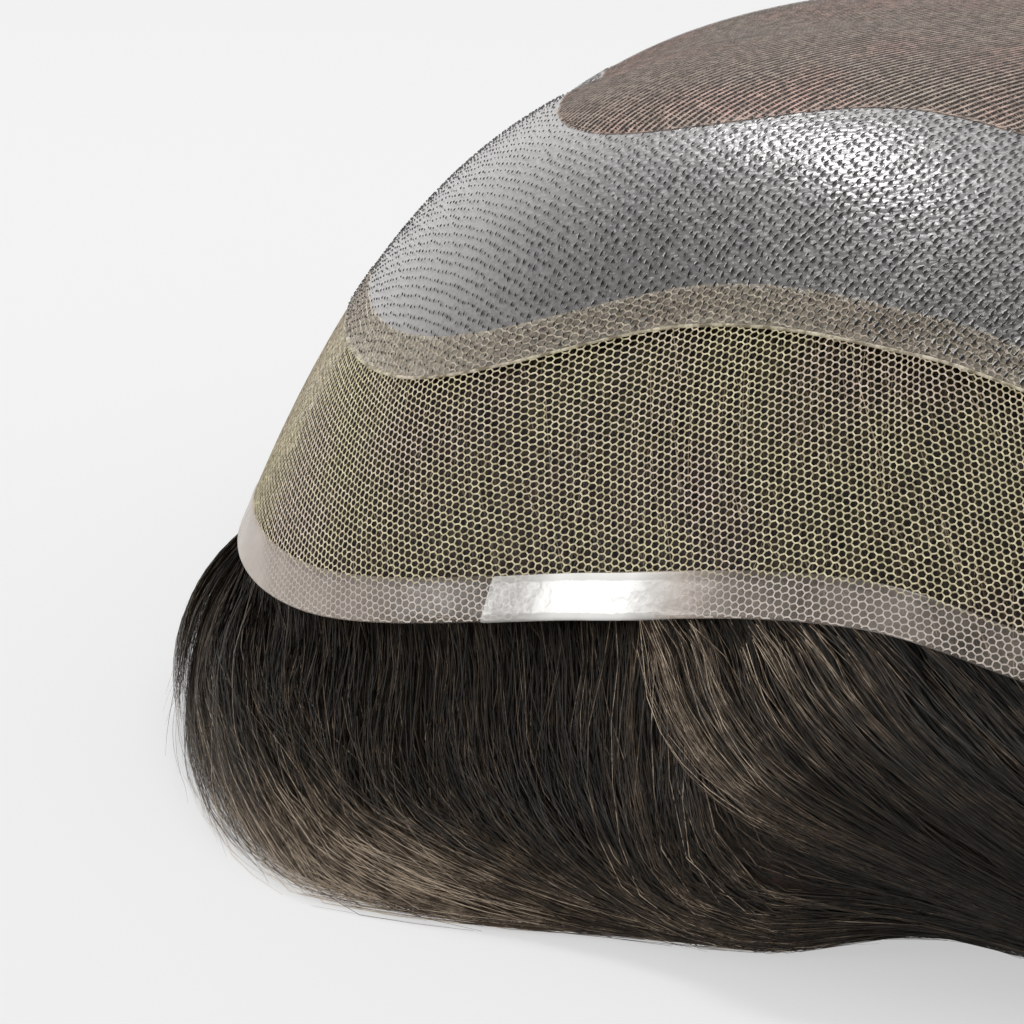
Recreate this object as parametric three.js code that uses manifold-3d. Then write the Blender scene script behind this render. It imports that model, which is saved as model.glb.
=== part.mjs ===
// A toupee hairpiece set down inside out: a domed base of net and clear skin on a hollow mass of hair.
// Millimetres, +Z up, the front hairline towards -Y, the hair resting on z = 0.
import * as THREE from "three";
import { mergeVertices } from "three/addons/utils/BufferGeometryUtils.js";
import Module from "manifold-3d";

// Driving sizes of the base
const crown_height = 59.5; // top of the dome above the surface that the hair lies on
const half_width = 75;
const front_reach = 71; // from the crown to the middle of the front hairline
const back_reach = 118;
const plan_power = 2.2; // roundness of the egg shape that the edge follows
const edge_drop = 44; // how far the edge lies below the crown
const base_wall = 1;
const clearance = 0.3;

// Widths of the bands, measured along the dome from the edge inwards
const strip_width = 3.5;
const lace_width = 20;
const seam_width = 3.7;
const skin_width = 22.3;

// Driving sizes of the hair
const hair_depth = 9; // thickness of the layer under the dome
const curtain_depth = 12; // thickness of the fall where it rests
const hair_bulge = 8; // how far the fall swells beyond the edge
const lock_count = 28;
const lock_width = 19;
const lock_thickness = 4.5;
const lock_drift = 28; // how far each lock sweeps round while it falls

// One row for each 22.5 degrees, from the front centre round one side to the back centre.
// edge is a share of the egg shape's radius, drop of edge_drop, lace of lace_width, and bulge
// and foot of hair_bulge, at half height and at the floor. bend is the dome's profile power.
const rows = [
  { edge: 1.0, drop: 0.845, bend: 2.75, lace: 1.0, bulge: 0.9, foot: -0.5 },
  { edge: 0.889, drop: 0.765, bend: 3.1, lace: 0.95, bulge: 1.0, foot: -0.1 },
  { edge: 0.849, drop: 0.85, bend: 4.5, lace: 1.03, bulge: 1.0, foot: 1.4 },
  { edge: 0.957, drop: 0.96, bend: 5.0, lace: 0.85, bulge: 0.9, foot: 1.15 },
  { edge: 0.988, drop: 0.987, bend: 4.4, lace: 0.93, bulge: 0.65, foot: 0.5 },
  { edge: 0.956, drop: 1.013, bend: 3.4, lace: 0.9, bulge: 0.7, foot: 0.4 },
  { edge: 1.004, drop: 0.996, bend: 3.0, lace: 0.9, bulge: 0.8, foot: 0.5 },
  { edge: 0.985, drop: 0.97, bend: 2.65, lace: 0.9, bulge: 0.8, foot: 0.6 },
  { edge: 1.005, drop: 0.947, bend: 2.3, lace: 0.9, bulge: 0.8, foot: 0.6 },
];

const turns = 56; // points round each ring
const degree = Math.PI / 180;

// A column's value at an angle from the front, the same on both sides, on a smooth curve
// through the rows.
function column(name, angle) {
  const last = rows.length - 1;
  const turn = Math.abs(THREE.MathUtils.euclideanModulo(angle + 180, 360) - 180);
  const place = Math.min((turn / 180) * last, last - 1e-9);
  const row = Math.floor(place);
  const f = place - row;
  const at = (i) => rows[last - Math.abs(last - Math.abs(i))][name];
  const [p0, p1, p2, p3] = [at(row - 1), at(row), at(row + 1), at(row + 2)];
  return (
    p1 +
    0.5 *
      f *
      (p2 - p0 + f * (2 * p0 - 5 * p1 + 4 * p2 - p3 + f * (3 * (p1 - p2) + p3 - p0)))
  );
}

// Distance in plan from the crown to the edge.
function edgeRadius(angle) {
  const across = Math.abs(Math.sin(angle * degree)) / half_width;
  const along = Math.cos(angle * degree);
  const lengthwise = Math.abs(along) / (along > 0 ? front_reach : back_reach);
  const egg = (across ** plan_power + lengthwise ** plan_power) ** (-1 / plan_power);
  return egg * column("edge", angle);
}

function edgeHeight(angle) {
  return crown_height - edge_drop * column("drop", angle);
}

function polar(angle, radius, z) {
  const a = angle * degree;
  return new THREE.Vector3(radius * Math.sin(a), -radius * Math.cos(a), z);
}

// A point of the dome's outside, at a share of the way in plan from the crown to the edge.
function onDome(angle, share) {
  const fall = (crown_height - edgeHeight(angle)) * share ** column("bend", angle);
  return polar(angle, share * edgeRadius(angle), crown_height - fall);
}

// The same point moved inwards, square to the dome.
function underDome(angle, share, depth) {
  if (share === 0) return new THREE.Vector3(0, 0, crown_height - depth);
  const step = 0.004;
  const outwards = onDome(angle, share + step).sub(onDome(angle, share - step));
  const round = onDome(angle + 0.5, share).sub(onDome(angle - 0.5, share));
  const normal = outwards.cross(round).normalize();
  return onDome(angle, share).addScaledVector(normal, -depth);
}

// The share at which a line up the dome has run a distance from the edge.
function shareAt(angle, distance) {
  const step = 0.004;
  let run = 0;
  let share = 1;
  while (run < distance && share > step) {
    const length = onDome(angle, share).distanceTo(onDome(angle, share - step));
    const part = Math.min(1, (distance - run) / length);
    share -= step * part;
    run += length * part + (part < 1 ? distance : 0);
  }
  return share;
}

// Shares of the borders between the bands, from the edge inwards, at an angle.
function borders(angle) {
  const lace = lace_width * column("lace", angle);
  const runs = [0, strip_width, lace, seam_width, skin_width];
  let sum = 0;
  return runs.map((run) => shareAt(angle, (sum += run)));
}

const angles = Array.from({ length: turns }, (_, i) => (i * 360) / turns);
const bordersAt = new Map(angles.map((angle) => [angle, borders(angle)]));

// A closed surface through rings of points that all run the same way round. Two poles close
// its ends, or else its last ring joins its first.
function surface(rings, start, end) {
  const count = rings[0].length;
  const points = rings.flat();
  const faces = [];
  const joined = start ? rings.length - 1 : rings.length;
  for (let k = 0; k < joined; k++) {
    const here = k * count;
    const next = ((k + 1) % rings.length) * count;
    for (let i = 0; i < count; i++) {
      const j = (i + 1) % count;
      faces.push(here + i, next + i, next + j, here + i, next + j, here + j);
    }
  }
  if (start) {
    const first = points.push(start) - 1;
    const last = points.push(end) - 1;
    const tail = (rings.length - 1) * count;
    for (let i = 0; i < count; i++) {
      const j = (i + 1) % count;
      faces.push(first, i, j, last, tail + j, tail + i);
    }
  }
  const geometry = new THREE.BufferGeometry().setFromPoints(points);
  geometry.setIndex(faces);
  return geometry;
}

// A band of the dome between two borders, with the clearance taken off its upper side.
function band(outer, inner, steps, lift = 0) {
  const share = (angle, f) => {
    const marks = bordersAt.get(angle);
    const gap = clearance / edgeRadius(angle);
    return THREE.MathUtils.lerp(marks[inner] + gap, marks[outer], f);
  };
  const ring = (f, depth) => angles.map((angle) => underDome(angle, share(angle, f), depth));
  const out = Array.from({ length: steps + 1 }, (_, k) => k / steps);
  return surface([
    ...out.map((f) => ring(f, -lift)),
    ...out.toReversed().map((f) => ring(f, base_wall)),
  ]);
}

// The centre of the base, closed at the crown.
function centre(steps) {
  const ring = (f, depth) =>
    angles.map((angle) => underDome(angle, bordersAt.get(angle)[4] * f, depth));
  const out = Array.from({ length: steps }, (_, k) => (k + 1) / steps);
  const rings = [
    ...out.map((f) => ring(f, 0)),
    ...out.toReversed().map((f) => ring(f, base_wall)),
  ];
  return surface(rings, underDome(0, 0, 0), underDome(0, 0, base_wall));
}

// How far the fall of hair stands out beyond the edge, at a share t of the way down.
function swell(angle, t) {
  const middle = hair_bulge * column("bulge", angle);
  const foot = hair_bulge * column("foot", angle);
  return 4 * middle * t * (1 - t) + foot * t * (2 * t - 1);
}

function onFall(angle, t, lift = 0) {
  const top = edgeHeight(angle) - 2 * base_wall - clearance;
  return polar(angle, edgeRadius(angle) + swell(angle, t) + lift, top * (1 - t));
}

// The hollow wall of hair: a layer under the dome that turns down at the edge to the floor.
function hairWall() {
  const around = (point) => angles.map(point);
  const top = base_wall + clearance;
  const inside = top + hair_depth;
  const shares = [0.25, 0.5, 0.7, 0.86, 0.95, 1];
  const falls = [0, 0.2, 0.45, 0.7, 1];
  const inner_shares = [0.8, 0.6, 0.35];
  const rings = [
    ...shares.map((share) => around((a) => underDome(a, share, top))),
    ...falls.map((t) => around((a) => onFall(a, t))),
    around((a) => onFall(a, 1, -curtain_depth)),
    around((a) => onFall(a, 0.6, -curtain_depth - 0.6 * hair_bulge)),
    ...inner_shares.map((share) => around((a) => underDome(a, share, inside))),
  ];
  return surface(rings, underDome(0, 0, top), underDome(0, 0, inside));
}

// One lock: a flat, tapered sweep that starts below the edge, drifts round and ends at the floor.
function lock(index) {
  const sides = 8;
  const stations = 7;
  const start = ((index + 0.5) * 360) / lock_count;
  const drift = (lock_drift / edgeRadius(start) / degree) * (0.8 + 0.4 * ((index * 0.618) % 1));
  const stand = 0.6 * ((index * 0.382) % 1);
  const path = (t) => onFall(start + drift * t * t, 0.08 + 0.9 * t, stand * lock_thickness * 0.5 - 1);
  const rings = [];
  for (let k = 0; k < stations; k++) {
    const t = 0.04 + (0.92 * k) / (stations - 1);
    const centre_point = path(t);
    const travel = path(t + 0.03).sub(path(t - 0.03)).normalize();
    const outward = polar(start + drift * t * t, 1, 0);
    const across = new THREE.Vector3().crossVectors(outward, travel).normalize();
    const up = new THREE.Vector3().crossVectors(travel, across).normalize();
    const taper = Math.sin(Math.PI * (0.12 + 0.76 * t)) ** 0.7;
    rings.push(
      Array.from({ length: sides }, (_, i) => {
        const a = (-i * 2 * Math.PI) / sides;
        return centre_point
          .clone()
          .addScaledVector(across, 0.5 * lock_width * taper * Math.cos(a))
          .addScaledVector(up, 0.5 * lock_thickness * taper * Math.sin(a));
      }),
    );
  }
  return surface(rings, path(0), path(1));
}

const wasm = await Module();
wasm.setup();

function toSolid(geometry) {
  const bare = new THREE.BufferGeometry();
  bare.setAttribute("position", geometry.getAttribute("position"));
  bare.setIndex(geometry.index);
  const merged = mergeVertices(bare, 1e-4);
  return new wasm.Manifold(
    new wasm.Mesh({
      numProp: 3,
      vertProperties: merged.attributes.position.array,
      triVerts: new Uint32Array(merged.index.array),
    }),
  );
}

function toGeometry(solid) {
  const mesh = solid.getMesh();
  const geometry = new THREE.BufferGeometry();
  geometry.setAttribute("position", new THREE.BufferAttribute(mesh.vertProperties, 3));
  geometry.setIndex(new THREE.BufferAttribute(mesh.triVerts, 1));
  return geometry;
}

// The wall with its locks fused on, cut level where it rests.
function hair() {
  const locks = Array.from({ length: lock_count }, (_, i) => toSolid(lock(i)));
  return toGeometry(wasm.Manifold.union([toSolid(hairWall()), ...locks]).trimByPlane([0, 0, 1], 0));
}

function finish(color, roughness) {
  return new THREE.MeshStandardMaterial({ color, roughness, metalness: 0, flatShading: true });
}

const pieces = [
  { name: "edge_strip", geometry: band(0, 1, 1), material: finish(0xd2c6c0, 0.25) },
  { name: "lace_band", geometry: band(1, 2, 5), material: finish(0x8a8068, 0.8) },
  { name: "seam_band", geometry: band(2, 3, 1, 0.3), material: finish(0xb09f90, 0.5) },
  { name: "skin_panel", geometry: band(3, 4, 5), material: finish(0x969493, 0.15) },
  { name: "mono_top", geometry: centre(5), material: finish(0xa5968c, 0.8) },
  { name: "hair", geometry: hair(), material: finish(0x231e1a, 0.45) },
];

const toupee = new THREE.Group();
for (const { name, geometry, material } of pieces) {
  const mesh = new THREE.Mesh(geometry, material);
  mesh.name = name;
  toupee.add(mesh);
}

// The origin is the middle of the whole piece at floor level.
const middle = new THREE.Box3().setFromObject(toupee).getCenter(new THREE.Vector3());
toupee.children.forEach((mesh) => mesh.position.set(-middle.x, -middle.y, 0));
export default toupee;
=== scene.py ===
"""A toupee hairpiece lying inside out: net, film and weave on a dome, with dark hair below its edge."""

import math

import bpy
import numpy as np
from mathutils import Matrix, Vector


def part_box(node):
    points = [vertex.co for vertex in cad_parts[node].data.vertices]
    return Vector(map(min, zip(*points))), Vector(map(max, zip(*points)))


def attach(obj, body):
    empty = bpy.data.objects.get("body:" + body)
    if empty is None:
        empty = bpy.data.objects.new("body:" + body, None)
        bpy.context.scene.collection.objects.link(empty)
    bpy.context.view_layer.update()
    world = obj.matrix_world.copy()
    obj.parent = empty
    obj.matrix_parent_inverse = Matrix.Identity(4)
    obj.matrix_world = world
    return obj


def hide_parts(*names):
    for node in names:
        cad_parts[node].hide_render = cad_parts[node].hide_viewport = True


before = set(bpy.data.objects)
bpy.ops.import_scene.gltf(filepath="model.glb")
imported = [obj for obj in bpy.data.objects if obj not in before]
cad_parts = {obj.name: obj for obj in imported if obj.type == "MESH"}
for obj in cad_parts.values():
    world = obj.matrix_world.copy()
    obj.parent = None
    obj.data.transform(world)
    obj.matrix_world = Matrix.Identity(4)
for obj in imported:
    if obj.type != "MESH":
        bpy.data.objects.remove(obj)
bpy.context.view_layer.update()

MM = 0.001

# The dome, in millimetres from the floor below the crown, with the front hairline towards -Y.
CROWN_HEIGHT = 59.5
HALF_WIDTH = 75.0
FRONT_REACH = 71.0
BACK_REACH = 118.0
PLAN_POWER = 2.2
EDGE_DROP = 44.0
STRIP_WIDTH = 3.5
LACE_WIDTH = 20.0
SEAM_WIDTH = 3.7
SKIN_WIDTH = 22.3
HAIR_DEPTH = 9.0
CURTAIN_DEPTH = 12.0
HAIR_BULGE = 8.0
HAIR_TOP_GAP = 2.3

# One value for each 22.5 degrees, from the front centre round one side to the back centre.
ROWS = {
    "edge": (1.0, 0.889, 0.849, 0.957, 0.988, 0.956, 1.004, 0.985, 1.005),
    "drop": (0.845, 0.765, 0.85, 0.96, 0.987, 1.013, 0.996, 0.97, 0.947),
    "bend": (2.75, 3.1, 4.5, 5.0, 4.4, 3.4, 3.0, 2.65, 2.3),
    "lace": (1.0, 0.95, 1.03, 0.85, 0.93, 0.9, 0.9, 0.9, 0.9),
    "bulge": (0.9, 1.0, 1.0, 0.9, 0.65, 0.7, 0.8, 0.8, 0.8),
    "foot": (-0.5, -0.1, 1.4, 1.15, 0.5, 0.4, 0.5, 0.6, 0.6),
}
LAST_ROW = 8

# The crown's place in the row frame
CROWN_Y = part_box("edge_strip")[0].y / MM + FRONT_REACH


def signed_turn(angle):
    """Turn from the front centre, from -180 to 180 degrees and positive towards +X."""
    return (np.asarray(angle, float) + 180.0) % 360.0 - 180.0


def column(name, angle):
    """A column's value at an angle from the front, on a smooth curve through the rows."""
    values = np.array(ROWS[name])
    turn = np.abs(signed_turn(angle))
    place = np.minimum(turn / 180.0 * LAST_ROW, LAST_ROW - 1e-9)
    row = np.floor(place).astype(int)
    f = place - row
    p0, p1, p2, p3 = (values[LAST_ROW - np.abs(LAST_ROW - np.abs(row + k))] for k in (-1, 0, 1, 2))
    return p1 + 0.5 * f * (p2 - p0 + f * (2 * p0 - 5 * p1 + 4 * p2 - p3 + f * (3 * (p1 - p2) + p3 - p0)))


def edge_radius(angle):
    a = np.radians(angle)
    reach = np.where(np.cos(a) > 0, FRONT_REACH, BACK_REACH)
    across = np.abs(np.sin(a)) / HALF_WIDTH
    along = np.abs(np.cos(a)) / reach
    return (across**PLAN_POWER + along**PLAN_POWER) ** (-1 / PLAN_POWER) * column("edge", angle)


def edge_height(angle):
    return CROWN_HEIGHT - EDGE_DROP * column("drop", angle)


def polar(angle, radius, z):
    a = np.radians(angle)
    return np.stack(np.broadcast_arrays(radius * np.sin(a), -radius * np.cos(a), z), -1)


def on_dome(angle, share):
    fall = (CROWN_HEIGHT - edge_height(angle)) * np.abs(share) ** column("bend", angle)
    return polar(angle, share * edge_radius(angle), CROWN_HEIGHT - fall)


def hump(turn, centre, width):
    """A smooth hump of height 1 round an angle."""
    return np.exp(-(((turn - centre) / width) ** 2))


def unit(v):
    return v / np.maximum(np.linalg.norm(v, axis=-1, keepdims=True), 1e-12)


def dome_frame(angle, share):
    """Point, outward normal and downhill direction of the dome."""
    share = np.maximum(share, 0.006)
    step = 0.004
    downhill = unit(on_dome(angle, share + step) - on_dome(angle, share - step))
    turn = unit(on_dome(angle + 0.5, share) - on_dome(angle - 0.5, share))
    return on_dome(angle, share), unit(np.cross(downhill, turn)), downhill


# Run of each line up the dome, as a table by whole degree, and the share at each part of the run
TABLE_SHARES = np.linspace(0, 1, 401)
TABLE_ANGLES = np.arange(361.0)
TABLE_POINTS = on_dome(TABLE_ANGLES[:, None], TABLE_SHARES[None, :])
TABLE_RUNS = np.concatenate(
    [np.zeros((361, 1)), np.cumsum(np.linalg.norm(np.diff(TABLE_POINTS, axis=1), axis=-1), 1)], 1
)
TOTAL_RUN = TABLE_RUNS[:, -1]
SHARE_BY_RUN = np.array(
    [np.interp(TABLE_SHARES * run[-1], run, TABLE_SHARES) for run in TABLE_RUNS]
)


def total_run(angle):
    """Length of the line up the dome from its edge to the crown."""
    return np.interp(np.asarray(angle) % 360, TABLE_ANGLES, TOTAL_RUN)


def share_at(angle, run):
    """Share of the way from the crown to the edge at which a line has run that far from the crown."""
    angle = np.asarray(angle) % 360
    place = np.clip(run / total_run(angle), 0, 1) * 400
    i = np.minimum(np.floor(angle).astype(int), 359)
    j = np.minimum(np.floor(place).astype(int), 399)
    fi, fj = angle - i, place - j
    low = SHARE_BY_RUN[i, j] * (1 - fj) + SHARE_BY_RUN[i, j + 1] * fj
    high = SHARE_BY_RUN[i + 1, j] * (1 - fj) + SHARE_BY_RUN[i + 1, j + 1] * fj
    inside = low * (1 - fi) + high * fi
    return inside + np.maximum(run - total_run(angle), 0) / total_run(angle)


def from_edge(angle, distance, lift=0.0):
    """Point and normal at a distance from the edge along the dome, raised by lift."""
    angle, distance, lift = np.broadcast_arrays(*(np.asarray(v, float) for v in (angle, distance, lift)))
    point, normal, _ = dome_frame(angle, share_at(angle, total_run(angle) - distance))
    return point + normal * lift[..., None], normal


def flat_angle(flat):
    return np.degrees(np.arctan2(flat[..., 0], -flat[..., 1])) % 360


def edge_distance(flat):
    """Distance from the edge of a point of the cloth laid flat round the crown."""
    return total_run(flat_angle(flat)) - np.linalg.norm(flat, axis=-1)


def laid(flat, lift=0.0):
    """Points of the cloth, laid flat round the crown, put back on the dome."""
    angle = flat_angle(flat)
    point, normal, _ = dome_frame(angle, share_at(angle, np.linalg.norm(flat, axis=-1)))
    return point + normal * np.asarray(lift, float)[..., None], normal


# The steep band below the clear panel opens out flat. Its edge then follows a wide curve, which turns
# evenly but for the table of extra turns, in degrees, at lengths along it from the front centre.
CURVE_RADIUS = 260.0
CURVE_ARC = (-258, -80, -57, -43, -30, -20, -8, 258)
CURVE_TURN = (4, 4, 5, -3, -10, -21, -30, -30)
CURVE_STEP = 0.5
# Steps that bring a point to its foot on the curve
CURVE_TRIES = 12
FLAT_ARC = np.arange(-258.0, 258.1, CURVE_STEP)
FLAT_WAY = FLAT_ARC / CURVE_RADIUS + np.radians(np.interp(FLAT_ARC, CURVE_ARC, CURVE_TURN))
FLAT_EDGE = np.cumsum(np.stack([np.cos(FLAT_WAY), np.sin(FLAT_WAY)], -1) * CURVE_STEP, 0)
# The cloth is pulled wide, which leaves its cells a little lower than they are wide.
CLOTH_SQUEEZE = 0.9
EDGE_ANGLES = np.arange(-180, 181.0)
EDGE_POINTS = on_dome(EDGE_ANGLES, np.full(361, 0.97))
EDGE_STEPS = np.linalg.norm(np.diff(EDGE_POINTS, axis=0), axis=-1)
EDGE_ARC = np.concatenate([[0.0], np.cumsum(EDGE_STEPS)]) - np.cumsum(EDGE_STEPS)[179]
EDGE_ALONG = unit(np.gradient(EDGE_POINTS, axis=0))
EDGE_UPHILL = -dome_frame(EDGE_ANGLES, np.full(361, 0.9))[2]
# How far a line up the dome runs along the edge for each step up, eased as cloth eases
SKEW_EASE = 0.8
EDGE_SKEW = SKEW_EASE * (EDGE_ALONG * EDGE_UPHILL).sum(-1)


def opened_place(flat):
    """Angle round the dome and distance from its edge of a point of the band opened out flat."""
    x, y = flat[..., 0], flat[..., 1]
    arc = np.interp(x, FLAT_EDGE[:, 0], FLAT_ARC)
    for _ in range(CURVE_TRIES):
        way = np.interp(arc, FLAT_ARC, FLAT_WAY)
        across = x - np.interp(arc, FLAT_ARC, FLAT_EDGE[:, 0])
        up = y - np.interp(arc, FLAT_ARC, FLAT_EDGE[:, 1])
        arc = arc + across * np.cos(way) + up * np.sin(way)
    distance = (up * np.cos(way) - across * np.sin(way)) * CLOTH_SQUEEZE
    arc = arc - np.interp(arc, EDGE_ARC, EDGE_SKEW) * distance
    return np.interp(arc, EDGE_ARC, EDGE_ANGLES, left=np.nan, right=np.nan), distance


def lace_inner(angle):
    return STRIP_WIDTH + LACE_WIDTH * column("lace", angle)


# Meshes


def mesh_object(name, points, faces, material, values=None, smooth=True):
    """An object from points in millimetres about the crown's foot, and faces of equally many corners."""
    points = np.asarray(points, float).reshape(-1, 3)
    faces = np.asarray(faces, np.int32)
    mesh = bpy.data.meshes.new(name)
    mesh.vertices.add(len(points))
    mesh.vertices.foreach_set("co", ((points + (0, CROWN_Y, 0)) * MM).astype(np.float32).ravel())
    mesh.loops.add(faces.size)
    mesh.loops.foreach_set("vertex_index", faces.ravel())
    mesh.polygons.add(len(faces))
    mesh.polygons.foreach_set("loop_start", np.arange(0, faces.size, faces.shape[1], dtype=np.int32))
    mesh.update(calc_edges=True)
    mesh.validate()
    mesh.polygons.foreach_set("use_smooth", np.full(len(mesh.polygons), smooth))
    for key, value in (values or {}).items():
        attribute = mesh.attributes.new(key, "FLOAT", "POINT")
        attribute.data.foreach_set("value", np.asarray(value, np.float32).ravel())
    mesh.materials.append(material)
    made = bpy.data.objects.new(name, mesh)
    bpy.context.scene.collection.objects.link(made)
    return made


def grid_faces(rows, columns, closed):
    """Faces of a grid of points, row by row. A closed grid's last row joins its first."""
    r = np.arange(rows if closed else rows - 1)[:, None]
    c = np.arange(columns - 1)[None, :]
    here, there = r * columns + c, ((r + 1) % rows) * columns + c
    return np.stack([here, here + 1, there + 1, there], -1).reshape(-1, 4)


def ribbon_mesh(name, lines, normals, widths, material, values=None):
    """Flat strips along lines of points, square to the normals."""
    count, stations = lines.shape[:2]
    travel = unit(np.gradient(lines, axis=1))
    side = unit(np.cross(normals, travel)) * (np.broadcast_to(widths, (count, stations)) / 2)[..., None]
    points = np.stack([lines - side, lines + side], 2)
    start = (np.arange(count)[:, None] * stations + np.arange(stations - 1)[None, :]) * 2
    faces = np.stack([start, start + 1, start + 3, start + 2], -1).reshape(-1, 4)
    spread = {}
    for key, value in (values or {}).items():
        spread[key] = np.repeat(np.broadcast_to(value, (count, stations)).ravel(), 2)
    return mesh_object(name, points, faces, material, spread)


# Materials


class Nodes:
    """A material's nodes, added one after the other."""

    def __init__(self, name):
        self.material = bpy.data.materials.new(name)
        self.material.use_nodes = True
        self.tree = self.material.node_tree
        self.tree.nodes.clear()
        self.output = self.add("ShaderNodeOutputMaterial")

    def add(self, kind, inputs=None, **settings):
        node = self.tree.nodes.new(kind)
        for key, value in settings.items():
            setattr(node, key, value)
        for key, value in (inputs or {}).items():
            if isinstance(value, bpy.types.NodeSocket):
                self.tree.links.new(value, node.inputs[key])
            else:
                node.inputs[key].default_value = value
        return node

    def noise(self, scale, detail=3.0, roughness=0.5):
        inputs = {"Scale": scale, "Detail": detail, "Roughness": roughness, "Vector": self.place()}
        return self.add("ShaderNodeTexNoise", inputs).outputs["Fac"]

    def place(self):
        return self.add("ShaderNodeTexCoord").outputs["Object"]

    def ramp(self, fac, *stops):
        node = self.add("ShaderNodeValToRGB", {"Fac": fac})
        points = node.color_ramp.elements
        while len(points) < len(stops):
            points.new(1.0)
        for point, (position, color) in zip(points, stops):
            point.position = position
            point.color = (*color, 1.0) if len(color) == 3 else color
        return node.outputs["Color"]

    def math(self, operation, *values):
        return self.add("ShaderNodeMath", dict(enumerate(values)), operation=operation).outputs[0]

    def mix(self, fac, a, b):
        node = self.add("ShaderNodeMix", data_type="RGBA")
        for socket, value in ((node.inputs[0], fac), (node.inputs[6], a), (node.inputs[7], b)):
            if isinstance(value, bpy.types.NodeSocket):
                self.tree.links.new(value, socket)
            elif isinstance(value, tuple):
                socket.default_value = (*value, 1.0)
            else:
                socket.default_value = value
        return node.outputs[2]

    def bump(self, height, strength, distance):
        return self.add(
            "ShaderNodeBump", {"Height": height, "Strength": strength, "Distance": distance * MM}
        ).outputs["Normal"]

    def surface(self, shader):
        self.tree.links.new(shader, self.output.inputs["Surface"])
        return self.material


def srgb(*values):
    """Linear colour of a colour given as 0 to 255 values."""
    return tuple(v / 255 / 12.92 if v < 11 else ((v / 255 + 0.055) / 1.055) ** 2.4 for v in values)


# Tone that a thread darkens to under painted shade and chance darkening, as a share of its dark colour
DIM_TONE = 0.62


def thread_material(name, light, warm, dark, roughness):
    """Thread of a net, with broad patches of a warmer tint and fine darker specks. An attribute darkens
    it with painted shade, with darkening towards the front and with a tone that changes by chance."""
    n = Nodes(name)
    patches = n.noise(70, 3, 0.6)
    fine = n.noise(2400, 2)
    tint = n.mix(n.ramp(patches, (0.45, (0, 0, 0)), (0.68, (1, 1, 1))), srgb(*light), srgb(*warm))
    color = n.mix(n.ramp(fine, (0.35, (0.7, 0.7, 0.7)), (0.6, (0, 0, 0))), tint, srgb(*dark))
    # Painted shade, darkening towards the front and chance darkening, from the mesh
    painted_shade_and_tone = n.add("ShaderNodeAttribute", attribute_name="painted_shade_and_tone").outputs["Fac"]
    color = n.mix(painted_shade_and_tone, color, srgb(*[v * DIM_TONE for v in dark]))
    shader = n.add(
        "ShaderNodeBsdfPrincipled",
        {"Base Color": color, "Roughness": roughness, "Specular IOR Level": 0.4},
    )
    return n.surface(shader.outputs[0])


def hair_material(name, stops):
    """Hair whose tone comes from each strand's shade, with a little change along it."""
    n = Nodes(name)
    shade = n.add("ShaderNodeAttribute", attribute_name="shade").outputs["Fac"]
    along = n.noise(520, 4, 0.7)
    tone = n.math("ADD", shade, n.math("MULTIPLY", n.math("SUBTRACT", along, 0.5), 0.9))
    shader = n.add(
        "ShaderNodeBsdfPrincipled",
        {"Base Color": n.ramp(tone, *stops), "Roughness": 0.45, "Specular IOR Level": 0.25},
    )
    return n.surface(shader.outputs[0])


def film_material(name, color, pale, roughness, bump_scale, bump_depth):
    """Clear film with a milky body, over whatever lies below it. An attribute says how milky, and where
    it is raised it also carries painted sheen and painted highlight.
    """
    n = Nodes(name)
    patches = n.noise(150, 3, 0.6)
    tint = n.mix(patches, srgb(*color), srgb(*pale))
    ripple = n.noise(bump_scale, 3)
    body = n.add(
        "ShaderNodeBsdfPrincipled",
        {
            "Base Color": tint,
            "Roughness": roughness,
            "Specular IOR Level": 0.5,
            "Normal": n.bump(ripple, 0.6, bump_depth),
        },
    )
    clear = n.add("ShaderNodeBsdfTransparent", {"Color": (1, 1, 1, 1)})
    # The film's own milk, raised in places for painted sheen and painted highlight
    milk = n.add("ShaderNodeAttribute", attribute_name="milk").outputs["Fac"]
    amount = n.math("ADD", n.math("MULTIPLY", n.math("SUBTRACT", patches, 0.5), 0.4), milk)
    mixed = n.add("ShaderNodeMixShader", {0: amount, 1: clear.outputs[0], 2: body.outputs[0]})
    return n.surface(mixed.outputs[0])


def with_painted_sheen(n, tint, pale, start):
    """The tint, with a painted sheen: a pale colour mixed in where the surface turns away from the view.
    """
    facing = n.add("ShaderNodeLayerWeight", {"Blend": 0.5}).outputs["Facing"]
    return n.mix(n.ramp(facing, (start, (0, 0, 0)), (start + 0.6, (1, 1, 1))), tint, srgb(*pale))


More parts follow.
